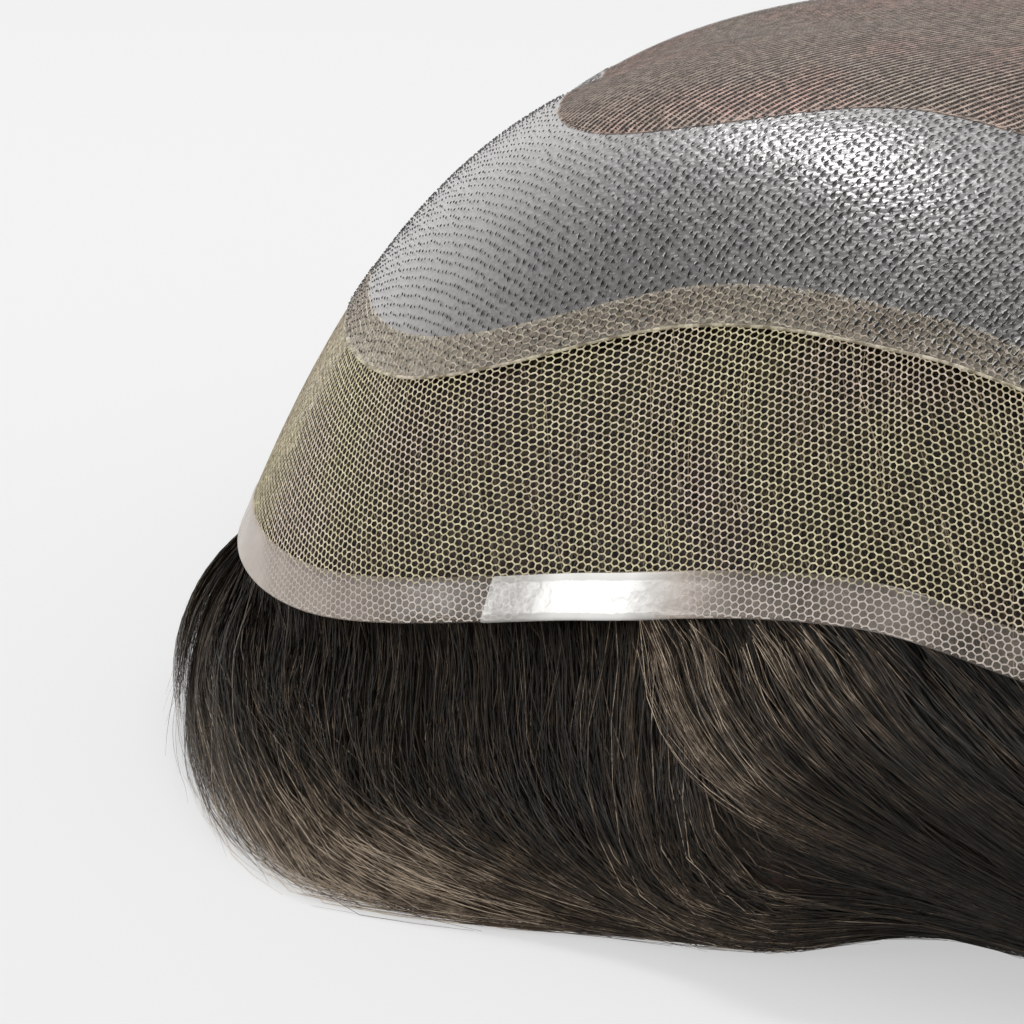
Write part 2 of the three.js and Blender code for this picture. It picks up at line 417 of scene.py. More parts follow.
def skin_material(name, dark, light, pale, roughness):
    """Film drawn in between the knots, so its surface is pebbled. Its gloss attribute is its shine."""
    n = Nodes(name)
    patches = n.noise(45, 4, 0.65)
    fine = n.noise(1300, 4, 0.7)
    tint = n.mix(patches, srgb(*dark), srgb(*light))
    speck = n.ramp(fine, (0.36, (0.8, 0.8, 0.8)), (0.62, (0, 0, 0)))
    tint = n.mix(speck, tint, srgb(*[v * 0.45 for v in dark]))
    # Painted sheen: paler where the film turns away
    tint = with_painted_sheen(n, tint, pale, 0.2)
    long = n.add("ShaderNodeMapping", {"Vector": n.place(), "Scale": (1.0, 1.7, 1.7)})
    pebbles = n.add("ShaderNodeTexVoronoi", {"Vector": long.outputs[0], "Scale": 1250.0}, feature="F1")
    height = n.math("SUBTRACT", n.math("MULTIPLY", fine, 0.8), pebbles.outputs["Distance"])
    gloss = n.add("ShaderNodeAttribute", attribute_name="gloss").outputs["Fac"]
    shader = n.add(
        "ShaderNodeBsdfPrincipled",
        {
            "Base Color": tint,
            "Roughness": roughness,
            "Specular IOR Level": 0.9,
            "Normal": n.bump(height, 0.9, 0.2),
            "Coat Weight": gloss,
            "Coat IOR": 1.7,
            "Coat Roughness": 0.24,
            "Coat Normal": n.bump(height, 0.6, 0.07),
        },
    )
    return n.surface(shader.outputs[0])


def weave_material(name, dark, warm, light, fine_scale, roughness, pale=None):
    """Cloth or backing with broad warm patches and fine dark specks, and a painted sheen if pale is
    given.
    """
    n = Nodes(name)
    patches = n.noise(75, 3, 0.6)
    fine = n.noise(fine_scale, 3, 0.6)
    tint = n.mix(n.ramp(patches, (0.42, (0, 0, 0)), (0.62, (1, 1, 1))), srgb(*light), srgb(*warm))
    color = n.mix(n.ramp(fine, (0.38, (1, 1, 1)), (0.62, (0, 0, 0))), tint, srgb(*dark))
    if pale is not None:
        color = with_painted_sheen(n, color, pale, 0.18)
    shader = n.add(
        "ShaderNodeBsdfPrincipled",
        {"Base Color": color, "Roughness": roughness, "Specular IOR Level": 0.3},
    )
    return n.surface(shader.outputs[0])


HAIR_STOPS = (
    (0.0, srgb(14, 12, 9)),
    (0.4, srgb(38, 32, 25)),
    (0.7, srgb(88, 73, 58)),
    (1.0, srgb(188, 170, 148)),
)
hair_finish = hair_material("hair", HAIR_STOPS)
backing_finish = weave_material("hair_below_net", (10, 7, 5), (62, 42, 34), (66, 60, 36), 1300, 0.6)
lace_finish = thread_material("lace_thread", (236, 226, 190), (232, 214, 200), (160, 146, 112), 0.55)
strip_finish = thread_material("strip_thread", (222, 212, 202), (216, 202, 192), (180, 168, 156), 0.5)
seam_finish = thread_material("seam_thread", (214, 204, 186), (206, 190, 174), (120, 110, 94), 0.4)
strip_film_finish = film_material("strip_film", (172, 158, 145), (222, 210, 200), 0.24, 900, 0.1)
# Near-white film over the strip: a painted highlight
overlap_highlight_finish = film_material("overlap_film_painted_highlight", (224, 222, 218), (248, 246, 242), 0.2, 700, 0.12)
skin_finish = skin_material("skin_film", (72, 69, 67), (122, 118, 116), (184, 181, 180), 0.45)
seam_film_finish = skin_material("seam_film", (94, 86, 74), (170, 157, 138), (206, 198, 184), 0.4)
fold_finish = weave_material("seam_fold", (122, 112, 92), (206, 194, 178), (206, 198, 172), 1100, 0.45)
# Knots, with a painted sheen where they turn away
knot_finish = weave_material(
    "knot", (14, 12, 12), (40, 34, 32), (44, 42, 40), 900, 0.35, (186, 184, 183)
)
# Film beside the knots, painted pale as a painted highlight
ridge_highlight_finish = weave_material("knot_ridge_painted_highlight", (110, 108, 108), (204, 200, 198), (200, 198, 196), 900, 0.22)
mono_thread_finish = weave_material(
    "mono_thread", (124, 108, 98), (196, 162, 150), (184, 168, 154), 1200, 0.5
)
mono_ground_finish = weave_material(
    "mono_ground", (80, 67, 58), (150, 120, 110), (136, 120, 107), 1400, 0.6
)
hole_finish = weave_material("mono_hole", (14, 11, 9), (40, 30, 27), (38, 31, 27), 900, 0.6)


# Net

NET_PITCH = 0.71
NET_TURN = 2.0
NET_THREAD = 0.125
NET_RIDGE = 0.06
# The cut threads end this far from the edge.
NET_END = 0.03
# Cells are laid this far past the curve's ends, then kept this near its height and this far up from it.
NET_MARGIN = 45
NET_NEAR = 60
NET_LOWEST = -1
NET_HIGHEST = 28
NET_WOBBLE = 0.035
# The net gets painted shade round the wearer's right and is darker towards the front: how much, where
# and over what turn.
PAINTED_SHADE_RIGHT = (0.62, -91, 13)
DIM_FRONT = (0.14, -40, 20)
DIM_CHANCE = (0.05, 0.16)


def lattice(pitch, turn, low, high):
    """Centres of a honeycomb's cells over the flat cloth from its low corner to its high one."""
    step = pitch * math.sqrt(3) / 2
    columns = np.arange(int(low[0] / step), int(high[0] / step))
    rows = np.arange(int(low[1] / pitch), int(high[1] / pitch))
    i, j = (v.ravel() for v in np.meshgrid(columns, rows))
    x, y = i * step, (j + 0.5 * (i % 2)) * pitch
    a = math.radians(turn)
    return np.stack([x * math.cos(a) - y * math.sin(a), x * math.sin(a) + y * math.cos(a)], -1)


def net_edges():
    """Ends of all threads of the net on the opened band, with their angle and distance from the edge."""
    centres = lattice(NET_PITCH, NET_TURN, FLAT_EDGE.min(0) - NET_MARGIN, FLAT_EDGE.max(0) + NET_MARGIN)
    level = np.interp(centres[:, 0], FLAT_EDGE[:, 0], FLAT_EDGE[:, 1])
    centres = centres[np.abs(centres[:, 1] - level) < NET_NEAR]
    distance = opened_place(centres)[1]
    centres = centres[(distance > NET_LOWEST) & (distance < NET_HIGHEST)]
    corners = []
    for k in range(4):
        a = math.radians(NET_TURN + 60 * k)
        corners.append(centres + NET_PITCH / math.sqrt(3) * np.array([math.cos(a), math.sin(a)]))
    ends = np.concatenate([np.stack([corners[k], corners[k + 1]], 1) for k in range(3)])
    ends = ends + NET_WOBBLE * np.sin(ends * 5.1 + ends[..., ::-1] * 3.7 + 1.3)
    angle, distance = opened_place(ends)
    kept = ~np.isnan(angle).any(1)
    return angle[kept], distance[kept]


NET_ANGLE, NET_DISTANCE = net_edges()
NET_MIDDLE = NET_ANGLE.mean(1), NET_DISTANCE.mean(1)


def net(name, chosen, lift, width, height, material):
    """The chosen threads of the net. A thread of some height has a ridge along its middle."""
    points, normals = from_edge(NET_ANGLE[chosen], np.maximum(NET_DISTANCE[chosen], NET_END), lift)
    turn = NET_ANGLE[chosen]
    # Painted shade round the wearer's right, then darker towards the front and darker by chance
    amount, centre, spread = PAINTED_SHADE_RIGHT
    painted_shade_and_tone = amount * hump(turn, centre, spread)
    amount, start, spread = DIM_FRONT
    painted_shade_and_tone = painted_shade_and_tone + amount * np.clip((turn - start) / spread, 0, 1)
    rng = np.random.default_rng(len(turn))
    painted_shade_and_tone = np.clip(painted_shade_and_tone + rng.normal(*DIM_CHANCE, (len(turn), 1)), 0, 1)
    if height == 0:
        return ribbon_mesh(name, points, normals, width, material, {"painted_shade_and_tone": painted_shade_and_tone})
    travel = unit(points[:, 1] - points[:, 0])[:, None]
    side = np.cross(normals, travel) * width / 2
    ridge = points + normals * height
    corners = np.stack([points - side, ridge, points + side], 2).reshape(-1, 3)
    start = np.arange(len(points))[:, None] * 6
    left = start + np.array([0, 1, 4, 3])
    right = start + np.array([1, 2, 5, 4])
    faces = np.concatenate([left, right])
    return mesh_object(name, corners, faces, material, {"painted_shade_and_tone": np.repeat(painted_shade_and_tone, 3)}, smooth=False)


def keep(piece, node):
    """Hangs a piece under the root body and hides the CAD node that it stands for."""
    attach(piece, "root")
    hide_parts(node)
    return piece


def fixed(value):
    return lambda angle: np.full_like(np.asarray(angle, float), value)


def between(low, high):
    """The net's threads between two distances from the edge."""
    angle, distance = NET_MIDDLE
    return (distance > low(angle)) & (distance < high(angle))


in_lace = between(fixed(STRIP_WIDTH - 0.2), lambda a: lace_inner(a) + 0.2)
in_front = np.abs(NET_MIDDLE[0] + 25) < 90
keep(
    net("lace_net_front", in_lace & in_front, 0.0, NET_THREAD, NET_RIDGE, lace_finish),
    "lace_band",
)
keep(
    net("lace_net_back", in_lace & ~in_front, 0.02, NET_THREAD, 0, lace_finish),
    "lace_band",
)
in_strip = between(fixed(-0.12), fixed(STRIP_WIDTH - 0.2))
keep(net("strip_net", in_strip, 0.02, NET_THREAD * 0.9, 0, strip_finish), "edge_strip")
in_seam = between(lambda a: lace_inner(a) + 0.2, lambda a: lace_inner(a) + SEAM_WIDTH)
keep(net("seam_net", in_seam, 0.1, NET_THREAD, 0.09, seam_finish), "seam_band")


# Films

AROUND = np.arange(0, 360, 1.0)


def band_sheet(name, profile, material, low=fixed(0.0), around=AROUND, **values):
    """A sheet round the dome through (distance from low, lift) pairs, closed if it goes all round."""
    distance = np.array([p[0] for p in profile])[None, :] + low(around)[:, None]
    lift = np.array([p[1] for p in profile])[None, :]
    beyond = np.minimum(distance, 0)
    point, _ = from_edge(around[:, None], np.maximum(distance, 0), lift)
    _, _, downhill = dome_frame(around[:, None], np.ones_like(distance))
    point = point - downhill * beyond[..., None]
    closed = around[-1] - around[0] > 350
    values = {key: np.broadcast_to(value[:, None], distance.shape) for key, value in values.items()}
    return mesh_object(name, point, grid_faces(len(around), len(profile), closed), material, values)


STRIP_PROFILE = (
    (3.75, -0.05), (3.6, 0.1), (3.3, 0.16), (2.6, 0.13), (1.9, 0.12), (1.2, 0.13), (0.6, 0.14),
    (0.2, 0.14), (0.0, 0.12), (-0.1, 0.02), (-0.08, -0.12), (0.1, -0.2), (0.8, -0.26), (3.0, -0.3),
)
# It is milkier at the sides, a painted sheen where the film turns away, and past the end of the
# overlap, a painted highlight.
around_turn = signed_turn(AROUND)
strip_milk = 0.15 + 0.52 * np.clip((np.abs(around_turn) - 55) / 30, 0, 1)
strip_milk = strip_milk + 0.5 * hump(around_turn, -39, 5)
keep(
    band_sheet("strip_film", STRIP_PROFILE, strip_film_finish, milk=strip_milk),
    "edge_strip",
)

# A second length of film laid over the strip, with a square end. Its near-white colour and its
# milkiness are a painted highlight.
OVERLAP_PROFILE = (
    (3.62, 0.14), (3.45, 0.3), (2.9, 0.34), (2.3, 0.3), (1.7, 0.34), (1.1, 0.32), (0.5, 0.36),
    (0.1, 0.34), (-0.12, 0.24), (-0.2, 0.02), (-0.1, -0.2),
)
OVERLAP_TURN = (-52.8, -50.5, -47.5, -41.5, -37)
OVERLAP_MILK_AND_HIGHLIGHT = (0.5, 0.45, 1.0, 0.95, 0.0)
OVERLAP_END = -36.9
overlap_around = np.arange(OVERLAP_TURN[0], OVERLAP_END, 0.25)
overlap_milk = np.interp(overlap_around, OVERLAP_TURN, OVERLAP_MILK_AND_HIGHLIGHT)
keep(
    band_sheet(
        "strip_overlap", OVERLAP_PROFILE, overlap_highlight_finish, around=overlap_around, milk=overlap_milk
    ),
    "edge_strip",
)

SEAM_PROFILE = (
    (0.0, -0.05), (0.1, 0.08), (0.8, 0.08), (1.6, 0.06), (2.6, 0.06), (3.6, 0.04), (4.1, -0.06),
)
keep(band_sheet("seam_film", SEAM_PROFILE, seam_film_finish, lace_inner), "seam_band")
FOLD_PROFILE = ((-0.08, -0.02), (-0.05, 0.1), (0.02, 0.15), (0.1, 0.15), (0.18, 0.11), (0.24, 0.04))
keep(band_sheet("seam_fold", FOLD_PROFILE, fold_finish, lace_inner), "seam_band")

# A narrow tape over the place at the back centre where the net's two ends meet
TAPE_HALF = 1.1
TAPE_ROWS = 7
TAPE_COLUMNS = 40
tape_across = np.linspace(-TAPE_HALF, TAPE_HALF, TAPE_ROWS)
tape_down = np.linspace(0.3, STRIP_WIDTH + LACE_WIDTH * 0.9 + 1.5, TAPE_COLUMNS)
tape_angle = 180 + np.degrees(tape_across / edge_radius(180.0))[:, None]
tape_lift = (0.16 - 0.12 * (tape_across / TAPE_HALF) ** 4)[:, None]
tape_points, _ = from_edge(tape_angle, tape_down[None, :], tape_lift)
tape_faces = grid_faces(TAPE_ROWS, TAPE_COLUMNS, False)
keep(mesh_object("net_tape", tape_points, tape_faces, fold_finish), "lace_band")

SKIN_PROFILE = tuple((SEAM_WIDTH - 0.2 + (SKIN_WIDTH + 0.3) * f, 0.0) for f in np.linspace(0, 1, 14))
# The film is duller at the front centre, where fingers have held it.
skin_gloss = 0.05 + 0.6 * np.clip((np.abs(around_turn) - 19) / 9, 0, 1)
skin_film = band_sheet("skin_film", SKIN_PROFILE, skin_finish, lace_inner, gloss=skin_gloss)
keep(skin_film, "skin_panel")


# Knots of the clear panel: short slanted ridges, dark below, and above them film painted pale as a
# painted highlight

KNOT_STEPS = ((0.86, 0.18), (0.0, 0.72))
KNOT_LENGTH = 0.76
KNOT_WIDTH = 0.115
KNOT_SLANT = 40.0
KNOT_TURN = 30.0
KNOT_REACH = 150.0
# No step of a pattern is shorter.
SHORTEST_STEP = 0.3


def places(steps, turn, reach):
    """Places on the cloth laid flat, a whole number of each step away from the crown."""
    count = int(reach / SHORTEST_STEP)
    i, j = np.meshgrid(np.arange(-count, count + 1), np.arange(-count, count + 1), indexing="ij")
    flat = np.stack([i, j], -1).reshape(-1, 2) @ np.array(steps)
    a = math.radians(turn)
    flat = flat @ np.array([[math.cos(a), math.sin(a)], [-math.sin(a), math.cos(a)]])
    return flat[np.linalg.norm(flat, axis=1) < reach]


def knot_quad(flat, along, across, corners, lift):
    """A quad for each knot from corners given along and across it."""
    points = np.stack([flat + along * u + across * v for u, v in corners], 1)
    return laid(points, np.broadcast_to(lift, points.shape[:-1]))[0]


def skin_knots(seed):
    rng = np.random.default_rng(seed)
    flat = places(KNOT_STEPS, KNOT_TURN, KNOT_REACH)
    flat = flat + rng.normal(0, 0.07, flat.shape)
    distance = edge_distance(flat) - lace_inner(flat_angle(flat))
    kept = (distance > 0.5) & (distance < SEAM_WIDTH + SKIN_WIDTH - 0.2)
    flat = flat[kept]
    over_seam = np.where(distance[kept] < SEAM_WIDTH, 0.08, 0)[:, None]
    turn = signed_turn(flat_angle(flat))
    size = (1 - 0.6 * hump(turn, -82, 26))[:, None]
    size = size * np.where((over_seam > 0) & (turn[:, None] < -30), 0.7, 1)
    count = len(flat)
    slant = np.radians(KNOT_SLANT + rng.normal(0, 9, count))
    along = np.stack([np.cos(slant), np.sin(slant)], -1)
    across = np.stack([-along[:, 1], along[:, 0]], -1)
    half = KNOT_LENGTH / 2 * rng.uniform(0.6, 1.3, (count, 1)) * size
    wide = KNOT_WIDTH * rng.uniform(0.7, 1.4, (count, 1)) * size
    dark = ((-half, 0), (0.1 * half, -wide * 0.7), (half, 0), (-0.1 * half, wide * 0.6))
    # Corners of the film above each knot, painted pale as a painted highlight
    clear = (
        (-half * 0.5, wide * 0.4),
        (half * 0.5, wide * 0.5),
        (half * 0.9, wide * 1.5),
        (-half * 0.3, wide * 2.2),
    )
    faces = np.arange(count * 4).reshape(-1, 4)
    made = []
    for name, corners, lift, material in (
        ("skin_knots", dark, (0.14, 0.15, 0.18, 0.24), knot_finish),
        ("skin_ridges", clear, (0.17, 0.22, 0.12, 0.05), ridge_highlight_finish),
    ):
        points = knot_quad(flat, along, across, corners, over_seam + np.array(lift))
        made.append(mesh_object(name, points, faces, material, smooth=False))
    return made


skin_details = [keep(piece, "skin_panel") for piece in skin_knots(31)]


# Centre weave

# Dark holes lie at whole steps. Ribs run along one step and threads along the other.
MONO_STEPS = ((0.285, -0.597), (-0.361, -0.311))
MONO_REACH = 82.0
MONO_PIECE = 1.7
MONO_HOLE = 0.165


def mono_inner(angle):
    return lace_inner(angle) + SEAM_WIDTH + SKIN_WIDTH


def mono_threads(name, direction, pitch, width, lift):
    """Parallel threads over the centre, in short straight lengths."""
    across = np.arange(-MONO_REACH, MONO_REACH, pitch)
    along = np.arange(-MONO_REACH, MONO_REACH, MONO_PIECE)
    start = np.stack(np.meshgrid(across, along, indexing="ij"), -1).reshape(-1, 2)
    pair = np.stack([start, start + np.array([0, MONO_PIECE])], 1)
    a = math.radians(direction)
    way = np.array([[math.sin(a), -math.cos(a)], [math.cos(a), math.sin(a)]])
    ends = pair @ way
    low = mono_inner(flat_angle(ends))
    inside = edge_distance(ends) > low
    ends = ends[inside.any(1)]
    angle = flat_angle(ends)
    run = np.minimum(np.linalg.norm(ends, axis=-1), total_run(angle) - mono_inner(angle))
    point, normal, _ = dome_frame(angle, share_at(angle, run))
    return ribbon_mesh(name, point + normal * lift, normal, width, mono_thread_finish)


def mono_holes(seed):
    rng = np.random.default_rng(seed)
    flat = places(MONO_STEPS, 0.0, MONO_REACH)
    flat = flat + rng.normal(0, 0.03, flat.shape)
    flat = flat[edge_distance(flat) > mono_inner(flat_angle(flat)) + 0.15]
    size = MONO_HOLE * rng.uniform(0.6, 1.3, len(flat))[:, None]
    way = np.array(MONO_STEPS[1]) / np.linalg.norm(MONO_STEPS[1])
    along = np.broadcast_to(way, flat.shape)
    across = np.stack([-along[:, 1], along[:, 0]], -1)
    corners = ((-size * 1.3, 0), (0, -size), (size * 1.3, 0), (0, size))
    points = knot_quad(flat, along, across, corners, (0.1, 0.1, 0.1, 0.1))
    faces = np.arange(len(flat) * 4).reshape(-1, 4)
    return mesh_object("mono_holes", points, faces, hole_finish, smooth=False)


rib_way, thread_way = (math.degrees(math.atan2(step[1], step[0])) for step in MONO_STEPS[::-1])
for name, direction, pitch, width, lift in (
    ("mono_threads", thread_way, 0.46, 0.12, 0.03),
    ("mono_fine", -62.0, 0.27, 0.09, 0.06),
    ("mono_ribs", rib_way, 0.638, 0.22, 0.09),
):
    keep(mono_threads(name, direction, pitch, width, lift), "mono_top")
keep(mono_holes(32), "mono_top")

mono_shares = np.linspace(0, 1, 20)
mono_edge = share_at(AROUND, total_run(AROUND) - mono_inner(AROUND))
mono_points, mono_normals, _ = dome_frame(AROUND[:, None], mono_edge[:, None] * mono_shares[None, :])
mono_ground = mesh_object(
    "mono_ground",
    mono_points - mono_normals * 0.04,
    grid_faces(len(AROUND), len(mono_shares), True),
    mono_ground_finish,
)
keep(mono_ground, "mono_top")


# Hair


def swell(angle, t):
    """How far the fall of hair stands out beyond the edge, at a share t of the way down."""
    middle = HAIR_BULGE * column("bulge", angle)
    foot = HAIR_BULGE * column("foot", angle)
    return 4 * middle * t * (1 - t) + foot * t * (2 * t - 1)


def on_fall(angle, z, lift):
    """A point of the hair's outside at a height, raised by lift."""
    top = edge_height(angle) - HAIR_TOP_GAP
    t = np.clip(1 - z / top, 0, 1)
    return polar(angle, edge_radius(angle) + swell(angle, t) + lift, z)


# Lift of the fall at angles round the edge, halfway down and at its foot
MIDDLE_ANGLES = (-180, -100, -88, -82, -72, -65, -59, 180)
MIDDLE_LIFT = (0, -0.8, -1.4, -1.5, -1.2, -0.5, 0, 0)
FOOT_ANGLES = (-180, -88, -82, -72, -65, -59, -54, -48, -42, -37, -31, -26, -23, -19, -14, -9, 0, 180)
FOOT_LIFT = (0, 0, -0.4, -1.2, 0.4, 3.0, 5.0, 3.4, 1.5, 0.6, 2.2, 2.6, -0.8, -3.8, -3.6, -1.2, 0, 0)


def place_lift(angle, down):
    turn = signed_turn(angle)
    middle = np.interp(turn, MIDDLE_ANGLES, MIDDLE_LIFT)
    foot = np.interp(turn, FOOT_ANGLES, FOOT_LIFT)
    return 4 * middle * down * (1 - down) + foot * down**2


BODY_DEPTH = 1.9
# The body's foot lies this much deeper than its top.
BODY_FOOT_DEPTH = 0.5


def hair_body():
    """The dark mass behind the strands: under the dome, down behind the fall and back inside."""
    a = AROUND[:, None]
    rings = []
    for share in (0.0, 0.2, 0.4, 0.6, 0.75, 0.86, 0.94, 0.985):
        point, normal, _ = dome_frame(a, np.full_like(a, share))
        rings.append(point - normal * 1.4)
    top = edge_height(a) - HAIR_TOP_GAP
    for t in (0.0, 0.1, 0.25, 0.4, 0.55, 0.7, 0.82, 0.9, 0.96):
        depth = BODY_DEPTH + BODY_FOOT_DEPTH * max(0, t - 0.7) / 0.3
        rings.append(on_fall(a, top * (1 - t), place_lift(a, t) - depth))
    rings.append(on_fall(a, top * 0.05, -CURTAIN_DEPTH + 1.5))
    rings.append(on_fall(a, top * 0.5, -CURTAIN_DEPTH - 3.0))
    for share in (0.78, 0.6, 0.35, 0.0):
        point, normal, _ = dome_frame(a, np.full_like(a, share))
        rings.append(point - normal * (1.3 + HAIR_DEPTH - 1.0))
    points = np.concatenate(rings, 1)
    count, columns = points.shape[:2]
    return mesh_object("hair_body", points, grid_faces(count, columns, True), backing_finish)


keep(hair_body(), "hair")

STATIONS = 10
ALONG = np.linspace(0, 1, STATIONS)[None, :]
DARKEST = 0.02

# Lean of the even layers, in degrees from straight down towards the sweep: a row for each angle,
# with the lean at each share of the way down
LEAN_SHARES = (0.0, 0.2, 0.35, 0.5, 0.65, 0.8, 1.0)
LEAN_ROWS = {
    -180: (42, 46, 52, 60, 70, 78, 86),
    -100: (56, 62, 68, 74, 78, 82, 86),
    -75: (60, 69, 74, 77, 79, 82, 85),
    -65: (53, 60, 68, 74, 78, 81, 85),
    -56: (48, 46, 49, 58, 69, 76, 85),
    -48: (43, 43, 47, 57, 68, 76, 85),
    -41: (35, 37, 43, 50, 56, 70, 86),
    -34: (42, 32, 24, 20, 32, 62, 82),
    -25: (50, 51, 54, 60, 70, 80, 90),
    -13: (43, 48, 56, 66, 76, 84, 90),
    0: (42, 46, 54, 64, 74, 82, 88),
    90: (40, 46, 54, 62, 72, 80, 86),
    180: (42, 46, 52, 60, 70, 78, 86),
}
# Lean of the broad locks, at each share of the way down
LOCK_LEAN = (60, 62, 64, 70, 79, 90, 100)


def layer_lean(angle, share):
    """Lean of the even layers at an angle and a share of the way down."""
    turn = signed_turn(angle)
    row_angles = list(LEAN_ROWS)
    columns = np.stack([np.interp(turn, row_angles, values) for values in zip(*LEAN_ROWS.values())], -1)
    last = len(LEAN_SHARES) - 1
    place = np.clip(np.interp(share, LEAN_SHARES, np.arange(last + 1)), 0, last - 0.001)
    low = np.floor(place).astype(int)
    each = np.arange(len(angle))
    return columns[each, low] * (1 - place + low) + columns[each, low + 1] * (place - low)


def lock_lean(angle, share):
    """Lean of the broad locks at a share of the way down, the same at each angle."""
    return np.interp(share, LEAN_SHARES, LOCK_LEAN)


def crowd(angle):
    """How closely strands stand round the edge. The front and the wearer's right are fullest."""
    return 1 + 1.3 * np.clip((75 - np.abs(signed_turn(angle) + 52)) / 12, 0, 1)


def shade_by_place(angle, z):
    """Change of shade: loose light ends low down on the wearer's right, painted shade under the first
    lock beside them, and darker from the front centre on."""
    turn = signed_turn(angle)
    loose_ends = 0.46 * hump(turn, -54, 16) * np.clip((8.5 - z) / 6, 0, 1)
    # Painted shade under the first lock
    painted_shade_below_lock = 0.12 * hump(turn, -41, 6) * np.clip((18 - z) / 6, 0, 1)
    past_front = 0.27 * np.clip((turn + 27) / 10, 0, 1) * np.clip((60 - turn) / 30, 0, 1)
    return loose_ends - painted_shade_below_lock - past_front


# Strands start this far above the edge, sunk below the dome's line until a share of the way down.
ROOT_RISE = 0.5
ROOT_SINK = 1.3
ROOT_EASE = 0.12
# The fall's mean distance outside the edge
MEAN_SWELL = 4
SHARE_GAP = 0.4


def share_down(angle, z):
    """Share of the way down the fall at a height."""
    return 1 - z / (edge_height(angle) - SHARE_GAP)


def strands(name, root, start, length, lean_at, turned, lift, width, shade, rng):
    """Strands that follow the fall from its top, at the lean that lean_at gives, turned by a little
    for each strand. lift is one value for each strand or for each station."""
    count = len(root)
    radius = edge_radius(root) + MEAN_SWELL
    angle = root.copy()
    z = edge_height(root) + ROOT_RISE - start
    step = length / (STATIONS - 1)
    waver = rng.normal(0, 3.0, (2, count))
    stop = rng.uniform(0.1, 1.3, count)
    angles, heights = [], []
    for k in range(STATIONS):
        angles.append(angle)
        heights.append(z)
        bend = lean_at(angle, share_down(angle, z)) + turned
        bend = bend + waver[0] * math.sin(1.1 * k) + waver[1] * math.cos(0.7 * k)
        angle = angle + np.degrees(step * np.sin(np.radians(bend)) / radius)
        z = np.maximum(z - step * np.cos(np.radians(bend)), stop)
    angle, z = np.stack(angles, 1), np.stack(heights, 1)
    down = np.clip(share_down(angle, z), 0, 1)
    under = ROOT_SINK * (1 - np.clip(down / ROOT_EASE, 0, 1)) ** 1.5
    lines = on_fall(angle, z, lift - under + place_lift(angle, down))
    outward = unit(polar(angle, np.ones_like(angle), np.full_like(angle, 0.15)))
    travel = unit(np.gradient(lines, axis=1))
    twist = np.radians(rng.normal(0, 30, (count, 1)))[..., None]
    normals = outward * np.cos(twist) + np.cross(travel, outward) * np.sin(twist)
    widths = width[:, None] * (1 - 0.7 * ALONG**3)
    shade = np.clip(shade + shade_by_place(angle, z), DARKEST, 1)
    return ribbon_mesh(name, lines, normals, widths, hair_finish, {"shade": shade})


def strand_widths(rng, root):
    """Widths of strands, finer where they stand closer."""
    return rng.uniform(0.05, 0.085, len(root)) * (1.5 - 0.22 * crowd(root))


def tones(rng, count, middle):
    """Shade of each strand: mostly dark, with a few light ones."""
    light = rng.uniform(0, 1, count) < 0.12
    return np.where(light, rng.uniform(0.55, 0.85, count), middle + rng.normal(0, 0.12, count))


WISPS = 520


def base_strands(name, count, depth, lengths, seed):
    """The even layers of the fall, gathered into narrow wisps."""
    rng = np.random.default_rng(seed)
    wisp_angle = (np.arange(WISPS) + rng.uniform(-0.6, 0.6, WISPS)) * 360 / WISPS
    fullness = crowd(wisp_angle)
    which = rng.choice(WISPS, size=count, p=fullness / fullness.sum())
    offset = rng.normal(0, 0.7, count)
    root = wisp_angle[which] + offset
    turned = rng.normal(0, 4.0, WISPS)[which] + rng.normal(0, 3.0, count) - offset * 3
    length = rng.uniform(*lengths, WISPS)[which] * rng.uniform(0.75, 1.12, count)
    lift = rng.normal(0, 0.45, WISPS)[which][:, None] * ALONG - rng.uniform(*depth, (count, 1))
    tone = tones(rng, count, rng.normal(0.3, 0.1, WISPS)[which])
    # Painted shade: strands of the deeper layers are darker
    painted_shade_deep = 0.16 * np.clip(rng.uniform(*depth, (count, 1)) / 2, 0, 1)
    shade = np.clip(tone[:, None] + 0.2 * ALONG**2 - painted_shade_deep, DARKEST, 1)
    start = rng.uniform(0, 1.0, count)
    width = strand_widths(rng, root)
    return strands(name, root, start, length, layer_lean, turned, lift, width, shade, rng)


# The locks that the photo shows, then the angles between which they follow by chance
FRONT_LOCKS = ((-41.0, 9.5), (-29.5, 9.5), (-19.0, 8.0), (-9.5, 9.0))
CHANCE_LOCKS = (2.0, 262.0)


def lock_places(rng):
    """Left edge and width, in degrees, of the broad locks that lie over the fall."""
    listed = list(FRONT_LOCKS)
    angle = CHANCE_LOCKS[0]
    while angle < CHANCE_LOCKS[1]:
        width = rng.uniform(8, 13)
        listed.append((angle, width))
        angle += width * rng.uniform(1.0, 1.6)
    return listed


